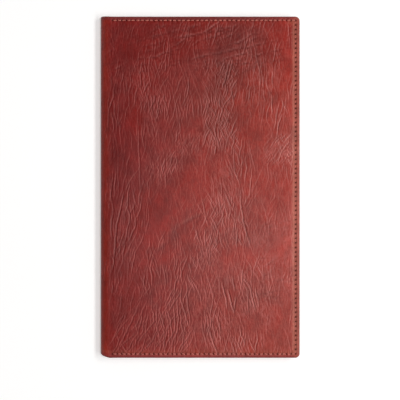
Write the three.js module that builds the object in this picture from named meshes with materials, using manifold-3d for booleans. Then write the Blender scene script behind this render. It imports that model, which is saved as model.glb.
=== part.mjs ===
// Check presenter: a leather folder that opens like a book, closed and lying on its back cover.
// Millimetres. X runs from the spine to the fore edge, Y along the spine to the head, and Z up.
// The origin is under the middle of the closed folder.

import * as THREE from 'three';
import { mergeVertices } from 'three/addons/utils/BufferGeometryUtils.js';
import Module from 'manifold-3d';

const wasm = await Module();
wasm.setup();

// Closed folder
const CLOSED_WIDTH = 133.35;
const CLOSED_HEIGHT = 228.6;
const CORNER_RADIUS = 3;
const CLOSING_GAP = 0.4;

// Layers of a cover, from the outside in
const LEATHER = 1.2;
const BOARD = 1.2;
const TURN_IN = 0.7;
const LINING = 0.7;
const GLUE_LINE = 0.05;

// Edges of those layers
const EDGE_ROUND = 0.9;
const BOARD_TO_SEAM = 1.2;
const TURN_IN_LAP = 5;
const LINING_INSET = 1.2;
const BOARD_TO_SPINE = 0.5;

// Rolled spine: each fold line lies this far round the roll from its cover
const FOLD_ANGLE = Math.PI / 4;
const FOLD_GAP = 0.3;
const ROLL_LAP = 0.4;

// Pockets: heights are measured from the tail edge of the lining
const POCKET_HEM = 0.5;
const POCKET_HEM_LAP = 4;
const POCKET_PANEL = 0.7;
const POCKET_TO_SPINE = 4;
const CHECK_POCKET_HEIGHT = 185;
const CARD_POCKET_HEIGHT = 52;
const RECEIPT_POCKET_HEIGHT = 165;

// Lockstitch seams, sunk in a groove
const SEAM_INSET = 2.7;
const SEAM_TO_SPINE = 1.5;
const THREAD_WIDTH = 0.6;
const THREAD_HEIGHT = 0.4;
const GROOVE_CLEARANCE = 0.1;
const STEP_CLEARANCE = 0.3;
const SEAM_END = 3;

// Roundness of the meshes
const CORNER_STEPS = 4;
const EDGE_STEPS = 3;
const ROLL_STEPS = 5;
const MERGE_TOLERANCE = 1e-4;

// Levels above a cover's outer face
const boardLevel = LEATHER + GLUE_LINE;
const turnInLevel = boardLevel + BOARD + GLUE_LINE;
const turnInTop = turnInLevel + TURN_IN;
const liningLevel = turnInTop + GLUE_LINE;
const liningTop = liningLevel + LINING;
const pocketRise = GLUE_LINE + POCKET_HEM + GLUE_LINE + POCKET_PANEL;
const grooveDepth = GLUE_LINE + THREAD_HEIGHT + GLUE_LINE;

// The back cover carries two pockets, one on the other, and the front cover one
const closedThickness = 2 * liningTop + 3 * pocketRise + CLOSING_GAP;

// Places in plan
const foreEdge = CLOSED_WIDTH / 2;
const halfHeight = CLOSED_HEIGHT / 2;
const rollRadius = closedThickness / 2;
const rollX = rollRadius - foreEdge;
const boardSpine = rollX + BOARD_TO_SPINE;
const boardInset = SEAM_INSET + THREAD_WIDTH / 2 + BOARD_TO_SEAM;
const turnInWidth = boardInset + TURN_IN_LAP;
const liningFore = foreEdge - LINING_INSET;
const liningHalf = halfHeight - LINING_INSET;
const liningRadius = Math.max(CORNER_RADIUS - LINING_INSET, EDGE_ROUND);
const pocketSpine = boardSpine + POCKET_TO_SPINE;
const hemWidth = SEAM_INSET + POCKET_HEM_LAP;
const seamStart = rollX + SEAM_TO_SPINE;
const seamFore = foreEdge - SEAM_INSET;
const seamHead = halfHeight - SEAM_INSET;

const leather = { color: 0x7d3430, roughness: 0.45, metalness: 0 };
const liningLeather = { color: 0x5a2a26, roughness: 0.6, metalness: 0 };
const thread = { color: 0xa8685a, roughness: 0.8, metalness: 0 };
const greyBoard = { color: 0x8d8880, roughness: 0.9, metalness: 0 };
const card = { color: 0xb9b1a2, roughness: 0.9, metalness: 0 };

// Solids and meshes

function solidOf(geometry) {
  geometry.deleteAttribute('normal');
  geometry.deleteAttribute('uv');
  const merged = mergeVertices(geometry, MERGE_TOLERANCE);
  return new wasm.Manifold(new wasm.Mesh({
    numProp: 3,
    vertProperties: merged.attributes.position.array,
    triVerts: new Uint32Array(merged.index.array),
  }));
}

function namedMesh(name, solid, look) {
  const cut = solid.getMesh();
  const geometry = new THREE.BufferGeometry();
  geometry.setAttribute('position', new THREE.BufferAttribute(cut.vertProperties, 3));
  geometry.setIndex(new THREE.BufferAttribute(cut.triVerts, 1));
  geometry.computeVertexNormals();
  const mesh = new THREE.Mesh(geometry, new THREE.MeshStandardMaterial(look));
  mesh.name = name;
  return mesh;
}

function block(low, high) {
  const size = high.map((value, axis) => value - low[axis]);
  const geometry = new THREE.BoxGeometry(...size);
  geometry.translate(...low.map((value, axis) => value + size[axis] / 2));
  return solidOf(geometry);
}

function slab(outline, level, thickness) {
  const geometry = new THREE.ExtrudeGeometry(outline, {
    depth: thickness,
    bevelEnabled: false,
    curveSegments: CORNER_STEPS,
  });
  geometry.translate(0, 0, level);
  return solidOf(geometry);
}

// A rectangle, square at the spine side, with its own radius at the two fore-edge corners
function coverOutline(spine, fore, low, high, lowRadius, highRadius) {
  const outline = new THREE.Shape();
  outline.moveTo(spine, low);
  outline.lineTo(fore - lowRadius, low);
  if (lowRadius > 0) {
    outline.absarc(fore - lowRadius, low + lowRadius, lowRadius, -Math.PI / 2, 0, false);
  }
  outline.lineTo(fore, high - highRadius);
  if (highRadius > 0) {
    outline.absarc(fore - highRadius, high - highRadius, highRadius, 0, Math.PI / 2, false);
  }
  outline.lineTo(spine, high);
  outline.closePath();
  return outline;
}

function evenOutline(spine, inset, radius) {
  return coverOutline(spine, foreEdge - inset, inset - halfHeight, halfHeight - inset, radius, radius);
}

// Rolled spine

// A bent strip of the roll, between two angles measured round from the back cover's outer face
function rollStrip(outer, thickness, from, to, lap) {
  const start = -Math.PI / 2 - from;
  const end = -Math.PI / 2 - to;
  const inner = outer - thickness;
  const profile = new THREE.Shape();
  profile.absarc(rollX, rollRadius, outer, start, end, true);
  profile.absarc(rollX, rollRadius, inner, end, start, false);
  if (lap > 0) {
    profile.lineTo(rollX + lap, rollRadius - inner);
    profile.lineTo(rollX + lap, rollRadius - outer);
  }
  profile.closePath();
  const geometry = new THREE.ExtrudeGeometry(profile, {
    depth: CLOSED_HEIGHT,
    bevelEnabled: false,
    curveSegments: ROLL_STEPS,
  });
  geometry.rotateX(Math.PI / 2);
  geometry.translate(0, halfHeight, 0);
  return solidOf(geometry);
}

const foldHalfGap = FOLD_GAP / 2 / rollRadius;
const spineFrom = FOLD_ANGLE + foldHalfGap;
const spineTo = Math.PI - spineFrom;

// Seams

// A thread or its groove along a path of square steps, between two heights from the path's level
function seamRun(path, grow, low, high) {
  const reach = THREAD_WIDTH / 2 + grow;
  const runs = path.slice(1).map((end, step) => {
    const start = path[step];
    const least = end.map((value, axis) => Math.min(value, start[axis]));
    const most = end.map((value, axis) => Math.max(value, start[axis]));
    return block(
      [least[0] - reach, least[1] - reach, least[2] + low],
      [most[0] + reach, most[1] + reach, most[2] + high],
    );
  });
  return runs.reduce((joined, run) => joined.add(run));
}

// Seams on the outer face are sunk upwards into the cover, and those inside downwards
const outerThread = (path) => seamRun(path, 0, GLUE_LINE, grooveDepth - GLUE_LINE);
const outerGroove = (path) => seamRun(path, GROOVE_CLEARANCE, -GLUE_LINE, grooveDepth);
const innerThread = (path) => seamRun(path, 0, GLUE_LINE - grooveDepth, -GLUE_LINE);
const innerGroove = (path) => seamRun(path, GROOVE_CLEARANCE, -grooveDepth, GLUE_LINE);

const outerSeam = [
  [seamStart, seamHead, 0],
  [seamFore, seamHead, 0],
  [seamFore, -seamHead, 0],
  [seamStart, -seamHead, 0],
];

// Along the head on the lining, down the fore edge with a step up at each pocket's mouth,
// back along the tail, and down onto the lining again beside the pockets
function innerSeam(pockets) {
  const path = [[seamStart, seamHead, liningTop], [seamFore, seamHead, liningTop]];
  let level = liningTop;
  for (const pocket of pockets) {
    path.push([seamFore, pocket.stepY, level], [seamFore, pocket.stepY, pocket.top]);
    level = pocket.top;
  }
  const stepX = pocketSpine - STEP_CLEARANCE - THREAD_WIDTH / 2;
  path.push([seamFore, -seamHead, level], [stepX, -seamHead, level]);
  path.push([stepX, -seamHead, liningTop], [seamStart, -seamHead, liningTop]);
  return path;
}

// Down the spine side of the pockets, from the first mouth to just above the tail seam
function pocketSeam(pockets) {
  const x = pocketSpine + SEAM_INSET;
  const path = [[x, pockets[0].mouth - SEAM_END, pockets[0].top]];
  let level = pockets[0].top;
  for (const pocket of pockets.slice(1)) {
    path.push([x, pocket.stepY, level], [x, pocket.stepY, pocket.top]);
    level = pocket.top;
  }
  path.push([x, SEAM_END - seamHead, level]);
  return path;
}

// Pockets, stacked on the lining

function stackPockets(sizes) {
  return sizes.map(({ name, height }, count) => {
    const base = liningTop + count * pocketRise;
    const mouth = height - liningHalf;
    return {
      name,
      mouth,
      stepY: mouth + STEP_CLEARANCE + THREAD_WIDTH / 2,
      hemLevel: base + GLUE_LINE,
      panelLevel: base + GLUE_LINE + POCKET_HEM + GLUE_LINE,
      top: base + pocketRise,
    };
  });
}

function pocketPanel(pocket, grooves) {
  const outline = coverOutline(pocketSpine, liningFore, -liningHalf, pocket.mouth, liningRadius, 0);
  const panel = slab(outline, pocket.panelLevel, POCKET_PANEL);
  return namedMesh(`${pocket.name}_panel`, panel.subtract(grooves), leather);
}

// The panel's edges, folded under on three sides, hold the slot open
function pocketHem(pocket) {
  const outline = coverOutline(pocketSpine, liningFore, -liningHalf, pocket.mouth, liningRadius, 0);
  const slot = block(
    [pocketSpine + hemWidth, hemWidth - liningHalf, pocket.hemLevel - GLUE_LINE],
    [liningFore - hemWidth, pocket.mouth + GLUE_LINE, pocket.hemLevel + POCKET_HEM + GLUE_LINE],
  );
  const hem = slab(outline, pocket.hemLevel, POCKET_HEM).subtract(slot);
  return namedMesh(`${pocket.name}_hem`, hem, leather);
}

// Covers, each lying on its outer face

// A block with folded edges, hollowed for the board and the filler card, with its share of the roll
function coverLeather() {
  const folded = new THREE.ExtrudeGeometry(evenOutline(rollX - 2 * EDGE_ROUND, 0, CORNER_RADIUS), {
    depth: turnInTop - 2 * EDGE_ROUND,
    bevelThickness: EDGE_ROUND,
    bevelSize: EDGE_ROUND,
    bevelOffset: -EDGE_ROUND,
    bevelSegments: EDGE_STEPS,
    curveSegments: CORNER_STEPS,
  });
  folded.translate(0, 0, EDGE_ROUND);
  const spineSide = block(
    [rollX - CLOSED_WIDTH, -CLOSED_HEIGHT, -LEATHER],
    [rollX, CLOSED_HEIGHT, closedThickness],
  );
  const boardRoom = slab(
    evenOutline(rollX - LEATHER, boardInset - GLUE_LINE, 0), LEATHER, turnInLevel - LEATHER);
  const fillerRoom = slab(evenOutline(rollX - LEATHER, turnInWidth, 0), LEATHER, closedThickness);
  return solidOf(folded)
    .subtract(spineSide)
    .subtract(boardRoom)
    .subtract(fillerRoom)
    .add(rollStrip(rollRadius, LEATHER, 0, FOLD_ANGLE - foldHalfGap, ROLL_LAP))
    .subtract(outerGroove(outerSeam));
}

function buildCover(side, pocketSizes) {
  const pockets = stackPockets(pocketSizes);
  const edgeSeam = innerSeam(pockets);
  const spineSeam = pocketSeam(pockets);
  const grooves = innerGroove(edgeSeam).add(innerGroove(spineSeam));
  const board = slab(evenOutline(boardSpine, boardInset, 0), boardLevel, BOARD);
  const filler = slab(evenOutline(boardSpine, turnInWidth + GLUE_LINE, 0), turnInLevel, TURN_IN);
  const lining = slab(evenOutline(boardSpine, LINING_INSET, liningRadius), liningLevel, LINING);
  const cover = new THREE.Group();
  cover.add(
    namedMesh(`${side}_cover_leather`, coverLeather(), leather),
    namedMesh(`${side}_board`, board, greyBoard),
    namedMesh(`${side}_filler_card`, filler, card),
    namedMesh(`${side}_lining`, lining.subtract(innerGroove(edgeSeam)), liningLeather),
    namedMesh(`${side}_needle_thread`, outerThread(outerSeam), thread),
    namedMesh(`${side}_bobbin_thread`, innerThread(edgeSeam), thread),
    namedMesh(`${side}_pocket_thread`, innerThread(spineSeam), thread),
  );
  for (const pocket of pockets) {
    cover.add(pocketHem(pocket), pocketPanel(pocket, grooves));
  }
  return cover;
}

const backCover = buildCover('back', [
  { name: 'check_pocket', height: CHECK_POCKET_HEIGHT },
  { name: 'card_pocket', height: CARD_POCKET_HEIGHT },
]);

// The front cover is the back cover's mirror image, with a pocket of its own
const frontCover = buildCover('front', [
  { name: 'receipt_pocket', height: RECEIPT_POCKET_HEIGHT },
]);
frontCover.scale.z = -1;
frontCover.position.z = closedThickness;

const spine = new THREE.Group();
const spineLining = rollStrip(rollRadius - LEATHER - GLUE_LINE, LINING, spineFrom, spineTo, 0);
spine.add(
  namedMesh('spine_leather', rollStrip(rollRadius, LEATHER, spineFrom, spineTo, 0), leather),
  namedMesh('spine_lining', spineLining, liningLeather),
);

const presenter = new THREE.Group();
presenter.add(backCover, spine, frontCover);

export default presenter;
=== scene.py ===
"""Looks of a folding check presenter: stained leather covers, edge stitching, linings and pockets."""
import math

import bpy
import numpy as np
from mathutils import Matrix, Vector


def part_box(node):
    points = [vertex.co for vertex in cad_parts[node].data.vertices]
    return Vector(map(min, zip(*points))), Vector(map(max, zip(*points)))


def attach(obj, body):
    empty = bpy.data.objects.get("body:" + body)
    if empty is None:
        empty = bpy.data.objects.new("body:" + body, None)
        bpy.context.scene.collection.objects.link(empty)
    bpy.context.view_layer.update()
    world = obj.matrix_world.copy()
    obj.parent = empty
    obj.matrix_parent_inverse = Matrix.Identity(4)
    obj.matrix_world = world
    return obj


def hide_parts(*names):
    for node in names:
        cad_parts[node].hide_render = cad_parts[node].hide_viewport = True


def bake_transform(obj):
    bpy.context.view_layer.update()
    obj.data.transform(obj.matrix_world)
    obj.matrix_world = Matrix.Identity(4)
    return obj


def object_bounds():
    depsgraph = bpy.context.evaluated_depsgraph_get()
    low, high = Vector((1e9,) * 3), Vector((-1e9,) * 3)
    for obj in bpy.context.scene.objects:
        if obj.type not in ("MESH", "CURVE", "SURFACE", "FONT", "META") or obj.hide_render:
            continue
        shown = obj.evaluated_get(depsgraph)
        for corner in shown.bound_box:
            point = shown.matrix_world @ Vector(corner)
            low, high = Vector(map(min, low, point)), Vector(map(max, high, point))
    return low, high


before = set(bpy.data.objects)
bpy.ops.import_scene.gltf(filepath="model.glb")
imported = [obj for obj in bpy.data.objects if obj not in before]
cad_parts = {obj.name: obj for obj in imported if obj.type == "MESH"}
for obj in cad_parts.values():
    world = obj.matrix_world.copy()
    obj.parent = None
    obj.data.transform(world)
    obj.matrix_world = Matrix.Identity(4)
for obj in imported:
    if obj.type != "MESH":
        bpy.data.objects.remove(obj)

cad_low, cad_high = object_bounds()
MM = 0.001


# Sizes of the folder in millimetres, read from the frame
def box_mm(node):
    """Lowest and highest corner of a frame node, in millimetres."""
    low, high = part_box(node)
    return np.array(low) / MM, np.array(high) / MM


HALF_WIDTH, HALF_HEIGHT, THICKNESS = (size / MM for size in cad_high)
ROLL_RADIUS = THICKNESS / 2
ROLL_X = ROLL_RADIUS - HALF_WIDTH
FLAT_LENGTH = HALF_WIDTH - ROLL_X
HALF_ROLL = ROLL_RADIUS * math.pi / 2
COVER_DEPTH = box_mm("back_cover_leather")[1][2]
LINING_LEVEL = box_mm("back_lining")[1][2]
(POCKET_START, _, _), (_, CHECK_MOUTH, FIRST_POCKET_LEVEL) = box_mm("check_pocket_panel")
_, CARD_MOUTH, CARD_POCKET_LEVEL = box_mm("card_pocket_panel")[1]
RECEIPT_MOUTH = box_mm("receipt_pocket_panel")[1][1]
POCKET_SEAM_X = float(sum(box_mm("back_pocket_thread")[i][0] for i in (0, 1)) / 2)
HALF_THREAD = 0.3
SEAM_INSET = HALF_HEIGHT - box_mm("front_needle_thread")[1][1] + HALF_THREAD

# Leather of the covers and its edges, in millimetres
CORNER_RADIUS = 3.0
HIDE = 1.2
FOLDED_HIDE = 0.7
TURN_IN = 9.2
BOARD_INSET = 4.25
ROLL_THINNING = 0.6
TAIL_SLANT = 2.1
HEAD_SLANT = 0.35
SLANT_REACH = 9.0

# Stitch spacing along the edges
SEAM_START = 2.0
STITCHES_ALONG = 40
STITCHES_UP = 72
SEAM_FORE = FLAT_LENGTH - SEAM_INSET
SEAM_HEAD = HALF_HEIGHT - SEAM_INSET
PITCH_ALONG = (SEAM_FORE - SEAM_START) / STITCHES_ALONG
PITCH_UP = 2 * SEAM_HEAD / STITCHES_UP

# Grid of a cover: columns run from the middle of the spine to the fore edge, rows from tail to head
ROLL_COLUMNS = 14
COLUMNS_PER_STITCH = 9
ROWS_PER_STITCH = 3
EDGE_LINES = np.array([0.0, 0.12, 0.47, 0.99, 1.6])
OUTER_LINES = np.append(EDGE_LINES, 2.15)
ROLL_LINES = -HALF_ROLL * (1 - np.arange(ROLL_COLUMNS) / ROLL_COLUMNS)
CREASE_LINES = np.linspace(0.0, SEAM_START, 5)[:-1]
PANEL_LINES = np.linspace(SEAM_START, SEAM_FORE, COLUMNS_PER_STITCH * STITCHES_ALONG + 1)
COLUMNS = np.concatenate([ROLL_LINES, CREASE_LINES, PANEL_LINES, FLAT_LENGTH - OUTER_LINES[::-1]])
ROW_LINES = np.linspace(-SEAM_HEAD, SEAM_HEAD, ROWS_PER_STITCH * STITCHES_UP + 1)
ROWS = np.concatenate([OUTER_LINES - HALF_HEIGHT, ROW_LINES, HALF_HEIGHT - OUTER_LINES[::-1]])
COLUMN_X = COLUMNS + ROLL_X
ALONG, UP = np.meshgrid(COLUMNS, ROWS, indexing="ij")
ACROSS = ALONG + ROLL_X
INSET = np.minimum(FLAT_LENGTH - ALONG, HALF_HEIGHT - np.abs(UP))


# Number helpers
def smooth(low, high, value):
    """Eased step from 0 at low to 1 at high."""
    t = np.clip((value - low) / (high - low), 0.0, 1.0)
    return t * t * (3.0 - 2.0 * t)


def hump(distance, width):
    """Soft hump that is 1 at no distance."""
    return np.exp(-(distance / width) ** 2)


def oval(x, y, half_x, half_y):
    """Soft oval hump over the cover grid."""
    return np.exp(-((ACROSS - x) / half_x) ** 2 - ((UP - y) / half_y) ** 2)


def cell_random(ix, iy, seed):
    """A fixed random number from 0 to 1 for each cell of a grid."""
    n = (ix * 374761393 + iy * 668265263 + seed * 974634777) & 0xFFFFFFFF
    n = ((n ^ (n >> 13)) * 1274126177) & 0xFFFFFFFF
    n = ((n ^ (n >> 15)) * 461845907) & 0xFFFFFFFF
    return ((n ^ (n >> 16)) & 0xFFFFFF) / 0xFFFFFF


def noise(x, y, seed):
    """Smooth noise from -1 to 1, with cells of size one."""
    ix = np.floor(x).astype(np.int64)
    iy = np.floor(y).astype(np.int64)
    ux = smooth(0.0, 1.0, x - ix)
    uy = smooth(0.0, 1.0, y - iy)
    low = cell_random(ix, iy, seed) * (1 - ux) + cell_random(ix + 1, iy, seed) * ux
    high = cell_random(ix, iy + 1, seed) * (1 - ux) + cell_random(ix + 1, iy + 1, seed) * ux
    return 2 * (low * (1 - uy) + high * uy) - 1


def bullnose(inset, radius):
    """Depth of a half-round edge at a distance in from the rim."""
    gap = np.clip(radius - inset, 0.0, radius)
    return radius - np.sqrt(np.maximum(radius * radius - gap * gap, 0.0))


def round_off(a, b):
    """Turns distances into a square corner into those of a round one."""
    most = np.maximum(np.maximum(a, b), 1e-9)
    angle = np.minimum(a, b) / most * math.pi / 4
    near = most * np.cos(angle)
    far = most * np.sin(angle)
    return np.where(a >= b, near, far), np.where(a >= b, far, near)


# Mesh helpers
def strip(a, b, closed=False):
    """Quads between two rows of vertex numbers."""
    a = np.asarray(a).tolist()
    b = np.asarray(b).tolist()
    count = len(a)
    last = count if closed else count - 1
    return [(a[i], a[(i + 1) % count], b[(i + 1) % count], b[i]) for i in range(last)]


def row_faces(rows, next_rows, closed=False):
    """Quads between rows of vertex numbers and the rows beside them."""
    return [face for a, b in zip(rows, next_rows) for face in strip(a, b, closed)]


def ring_numbers(first, count, length):
    """Vertex numbers of several rings, from a first number."""
    return first + np.arange(count * length).reshape(count, length)


def add_mesh(name, points_mm, faces, material, floats=None, vectors=None, flip=False, sharp=50):
    """A mesh object from points in millimetres, with attributes for its material."""
    if flip:
        faces = [tuple(reversed(face)) for face in faces]
    mesh = bpy.data.meshes.new(name)
    mesh.from_pydata((np.asarray(points_mm) * MM).tolist(), [], faces)
    for kind, field, layers in (("FLOAT", "value", floats), ("FLOAT_VECTOR", "vector", vectors)):
        for key, values in (layers or {}).items():
            layer = mesh.attributes.new(key, kind, "POINT")
            layer.data.foreach_set(field, np.asarray(values, np.float32).ravel())
    mesh.validate()
    mesh.polygons.foreach_set("use_smooth", [True] * len(mesh.polygons))
    mesh.set_sharp_from_angle(angle=math.radians(sharp))
    mesh.materials.append(material)
    obj = bpy.data.objects.new(name, mesh)
    bpy.context.scene.collection.objects.link(obj)
    return obj


def to_frame(points, side):
    """Frame points of a cover from points with a depth below its outer face."""
    out = np.array(points, float)
    if side == "front":
        out[..., 2] = THICKNESS - out[..., 2]
    return out


# Node helpers
class Nodes:
    """A material's node tree with short calls for the nodes used here."""

    def __init__(self, name):
        self.material = bpy.data.materials.new(name)
        self.material.use_nodes = True
        self.tree = self.material.node_tree
        self.shader = self.tree.nodes["Principled BSDF"]

    def put(self, socket, value):
        """Links an output to a socket, or sets the socket."""
        if isinstance(value, bpy.types.NodeSocket):
            self.tree.links.new(value, socket)
        else:
            socket.default_value = (*value, 1.0) if socket.type == "RGBA" else value

    def add(self, kind, output, sockets, **settings):
        """An output of a new node, with its settings and input sockets filled in."""
        node = self.tree.nodes.new("ShaderNode" + kind)
        for key, value in settings.items():
            setattr(node, key, value)
        for key, value in sockets.items():
            self.put(node.inputs[key], value)
        return node.outputs[output]

    def surface(self, name, value):
        """Links or sets an input of the surface shader."""
        self.put(self.shader.inputs[name], value)

    def attribute(self, name, output="Fac"):
        return self.add("Attribute", output, {}, attribute_name=name)

    def object_mm(self):
        """Object coordinates in millimetres."""
        return self.scaled(self.add("TexCoord", "Object", {}), (1 / MM, 1 / MM, 1 / MM))

    def scaled(self, vector, factors):
        return self.add("Mapping", "Vector", {"Vector": vector, "Scale": factors}, vector_type="POINT")

    def noise(self, vector, scale, detail=3.0, roughness=0.5, distortion=0.0):
        sockets = {"Vector": vector, "Scale": scale, "Detail": detail}
        sockets.update({"Roughness": roughness, "Distortion": distortion})
        return self.add("TexNoise", "Fac", sockets)

    def cells(self, vector, scale, feature):
        return self.add("TexVoronoi", "Distance", {"Vector": vector, "Scale": scale}, feature=feature)

    def warp(self, vector, scale, amount):
        """Shifts a vector by noise, by up to about half the amount."""
        shift = self.add("TexNoise", "Color", {"Vector": vector, "Scale": scale, "Detail": 2.0})
        sockets = {0: shift, 1: (amount, amount, 0.0), 2: vector}
        return self.add("VectorMath", "Vector", sockets, operation="MULTIPLY_ADD")

    def math(self, operation, a, b):
        return self.add("Math", 0, {0: a, 1: b}, operation=operation)

    def product(self, a, b):
        return self.math("MULTIPLY", a, b)

    def span(self, value, low, high, to_low=0.0, to_high=1.0):
        """Eased map of a value from one range to another."""
        sockets = {"Value": value, "From Min": low, "From Max": high, "To Min": to_low, "To Max": to_high}
        return self.add("MapRange", "Result", sockets, interpolation_type="SMOOTHSTEP")

    def mix(self, factor, a, b, blend="MIX"):
        return self.add("Mix", 2, {0: factor, 6: a, 7: b}, data_type="RGBA", blend_type=blend)

    def tinge(self, base, name, share, tone):
        """Mixes a tone into the base by a share of a mesh attribute."""
        return self.mix(self.product(self.attribute(name), share), base, tone)

    def bump(self, height, distance_mm, strength=1.0, normal=None):
        sockets = {"Height": height, "Distance": distance_mm * MM, "Strength": strength}
        if normal is not None:
            sockets["Normal"] = normal
        return self.add("Bump", "Normal", sockets)


# Colours
# Stain and dull tones in pairs: the darker one is painted shade toward the spine, the lighter one painted
# light toward the fore edge
STAIN_SHADED_SIDE = (0.178, 0.0085, 0.0073)
STAIN_LIT_SIDE = (0.315, 0.0262, 0.0165)
DULL_SHADED_SIDE = (0.164, 0.01, 0.0103)
DULL_LIT_SIDE = (0.285, 0.0385, 0.0285)
STREAK_TONE = (0.115, 0.011, 0.011)
FLECK_TONE = (0.12, 0.012, 0.011)
ROLL_TONE = (0.3, 0.022, 0.0115)
# Pale tone of worn lines and painted highlights, darker toward the spine as painted shade
WEAR_AND_HIGHLIGHT_SHADED_SIDE = (0.318, 0.061, 0.056)
WEAR_AND_HIGHLIGHT_LIT_SIDE = (0.6, 0.208, 0.182)
# Painted shade in the crease hollows
CREASE_SHADE_TONE = (0.05, 0.005, 0.005)
# Painted highlight along the fore rim, also the colour of the folded edges
RIM_AND_HIGHLIGHT_TONE = (0.345, 0.108, 0.08)
WELT_TONE = (0.215, 0.037, 0.034)
# Painted highlight on the pad inside the fore and tail seams
PAD_HIGHLIGHT_TONE = (0.4, 0.134, 0.089)
# Painted shade in the needle holes
HOLE_SHADE_TONE = (0.032, 0.0025, 0.0012)
TOOLED_TONE = (0.03, 0.005, 0.0045)
LINING_TONES = ((0.075, 0.016, 0.014), (0.115, 0.024, 0.019), (0.15, 0.034, 0.026))
POCKET_TONES = ((0.135, 0.018, 0.016), (0.195, 0.027, 0.021), (0.25, 0.043, 0.034))
THREAD_TONES = ((0.54, 0.185, 0.145), (0.7, 0.265, 0.205))
FIBRE_TONE = (0.4, 0.11, 0.08)
BOARD_TONES = ((0.19, 0.18, 0.165), (0.3, 0.285, 0.26))
CARD_TONES = ((0.4, 0.35, 0.27), (0.56, 0.5, 0.4))
FLOOR_TONES = ((0.835, 0.87, 0.895), (0.855, 0.89, 0.915))
FLOOR_GLOW_TONE = (1.0, 0.93, 0.89)


# Materials
def cover_leather_material():
    """Hand-stained hide, red where smooth and duller with worn lines where wrinkled, with painted light and
    shade: lighter toward the fore edge, painted highlights on crease walls, the fore rim and the pad, painted
    shade in creases and needle holes.
    """
    n = Nodes("cover_leather")
    hide = n.attribute("hide", "Vector")
    net = n.attribute("net", "Vector")
    painted_light_side = n.attribute("painted_light_side")
    cloud = n.noise(hide, 0.045, 3.0, 0.55, 0.4)
    streak = n.noise(n.scaled(hide, (0.30, 0.12, 1.0)), 1.0, 4.0, 0.6, 0.6)
    fleck = n.noise(hide, 0.9, 2.0, 0.6)
    # Painted light gradient: the stain is darker toward the spine and the head, lighter toward the fore edge
    red = n.mix(painted_light_side, STAIN_SHADED_SIDE, STAIN_LIT_SIDE)
    dull = n.mix(painted_light_side, DULL_SHADED_SIDE, DULL_LIT_SIDE)
    shift = n.math("ADD", n.attribute("dull"), n.span(cloud, 0.30, 0.70, 0.18, -0.18))
    base = n.mix(n.span(shift, 0.05, 0.95), red, dull)
    base = n.mix(n.span(streak, 0.50, 0.25, 0.0, 0.18), base, STREAK_TONE)
    base = n.mix(n.span(fleck, 0.45, 0.75, 0.0, 0.08), base, FLECK_TONE)
    base = n.tinge(base, "roll", 0.85, ROLL_TONE)

    wavy = n.warp(n.warp(net, 0.35, 1.8), 1.1, 0.7)
    broken = n.noise(net, 0.22, 2.0, 0.5)
    worn = n.span(n.attribute("dense"), 0.0, 0.8, 0.35, 1.0)
    coarse = n.cells(n.scaled(wavy, (1 / 2.7, 1 / 13.0, 1.0)), 1.0, "DISTANCE_TO_EDGE")
    coarse_on = n.product(n.span(broken, 0.36, 0.60), worn)
    small = n.cells(n.scaled(wavy, (1 / 1.9, 1 / 7.0, 1.0)), 1.0, "DISTANCE_TO_EDGE")
    small_on = n.product(n.span(broken, 0.60, 0.40, 0.10, 0.8), worn)
    # Fine net of worn lines, lightened partly as painted highlight on the crease walls
    wear_and_highlight_lines = n.product(n.span(coarse, 0.14, 0.03), coarse_on)
    wear_and_highlight_lines = n.math("MAXIMUM", wear_and_highlight_lines, n.product(n.span(small, 0.17, 0.04), small_on))
    lines = n.product(n.span(coarse, 0.26, 0.0), coarse_on)
    small_lines = n.product(n.span(small, 0.30, 0.0), n.product(small_on, 0.6))
    lines = n.math("ADD", lines, small_lines)
    # Pale tone for the worn lines and the painted highlights
    pale = n.mix(painted_light_side, WEAR_AND_HIGHLIGHT_SHADED_SIDE, WEAR_AND_HIGHLIGHT_LIT_SIDE)
    base = n.mix(n.product(wear_and_highlight_lines, 0.34), base, pale)
    # Painted highlight on the crease walls that face the lamps
    base = n.tinge(base, "crease_highlight", 1.0, pale)
    # Painted shade in the crease hollows
    base = n.tinge(base, "crease_shade", 0.43, CREASE_SHADE_TONE)

    grain = n.noise(n.scaled(hide, (1.25, 0.75, 1.0)), 1.0, 2.0, 0.6)
    mottle = n.noise(n.scaled(hide, (0.20, 0.13, 1.0)), 1.0, 2.0, 0.5)
    blotch = n.noise(hide, 0.075, 2.0, 0.5)
    tone = n.product(n.span(grain, 0.28, 0.72, 0.89, 1.11), n.span(mottle, 0.3, 0.7, 0.91, 1.09))
    tone = n.product(tone, n.span(blotch, 0.32, 0.68, 0.93, 1.07))
    # The stain gain also paints light and shade along the edges
    tone = n.product(tone, n.attribute("stain_and_light"))
    # Lighter rim: painted highlight along the fore edge, and the edge colour round the folded edges
    base = n.tinge(base, "rim", 0.55, RIM_AND_HIGHLIGHT_TONE)
    base = n.tinge(base, "welt", 0.65, WELT_TONE)
    # Painted highlight on the padded rise inside the seam
    base = n.tinge(base, "pad_highlight", 0.50, PAD_HIGHLIGHT_TONE)
    base = n.mix(1.0, base, tone, "MULTIPLY")
    # Painted shade in the needle holes
    n.surface("Base Color", n.mix(n.attribute("hole"), base, HOLE_SHADE_TONE))

    rough = n.math("MAXIMUM", n.span(streak, 0.25, 0.80, 0.30, 0.39), n.attribute("hole"))
    n.surface("Roughness", n.math("MAXIMUM", rough, n.span(n.attribute("roll"), 0.0, 1.0, 0.30, 0.60)))
    n.surface("Specular IOR Level", 0.30)
    pebble = n.cells(n.scaled(hide, (1.0, 0.62, 1.0)), 1.25, "SMOOTH_F1")
    n.surface("Normal", n.bump(n.product(lines, -1.0), 0.07, 1.0, n.bump(pebble, 0.035)))
    return n.material


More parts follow.
